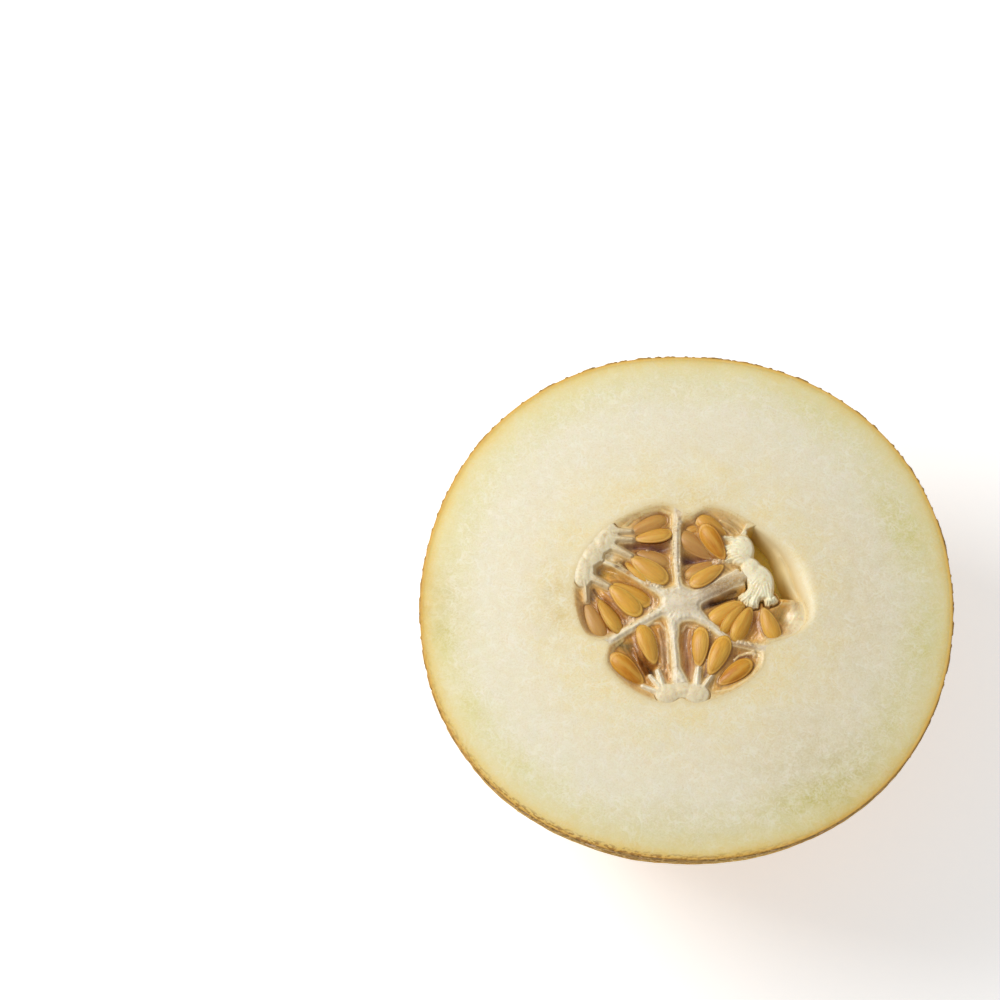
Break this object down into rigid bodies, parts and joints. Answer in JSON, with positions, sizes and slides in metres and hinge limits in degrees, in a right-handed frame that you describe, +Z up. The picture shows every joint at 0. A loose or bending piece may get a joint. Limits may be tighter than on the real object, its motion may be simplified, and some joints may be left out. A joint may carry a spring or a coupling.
{
  "type": "galia melon half",
  "caption": "Half of a round netted melon cut crosswise, lying cut face up, with pale flesh and a lobed seed cavity.",
  "frame": {"origin": "middle of the small flat at the blossom end that the half rests on", "axes": "+Z up, square to the cut face; +X to the right of the cut face and +Y to its top, as in the picture"},
  "size_m": [0.1433, 0.1412, 0.0769],
  "materials": {
    "flesh": "moist pale melon flesh with a greenish band under the rind",
    "rind": "golden skin under raised corky netting",
    "web": "wet, slightly translucent soft tissue",
    "placenta": "moist creamy white pads",
    "seed_bed": "wet amber jelly",
    "seed": "glossy golden tan"
  },
  "bodies": {
    "root": {"flesh": "flesh", "web": "web", "placenta_upper_left": "placenta", "placenta_right": "placenta", "placenta_bottom": "placenta", "seed_bed_upper_right": "seed_bed", "seed_bed_upper_left": "seed_bed", "seed_bed_left": "seed_bed", "seed_bed_bottom_left": "seed_bed", "seed_bed_bottom_right": "seed_bed", "seed_bed_right": "seed_bed"}
  },
  "joints": []
}
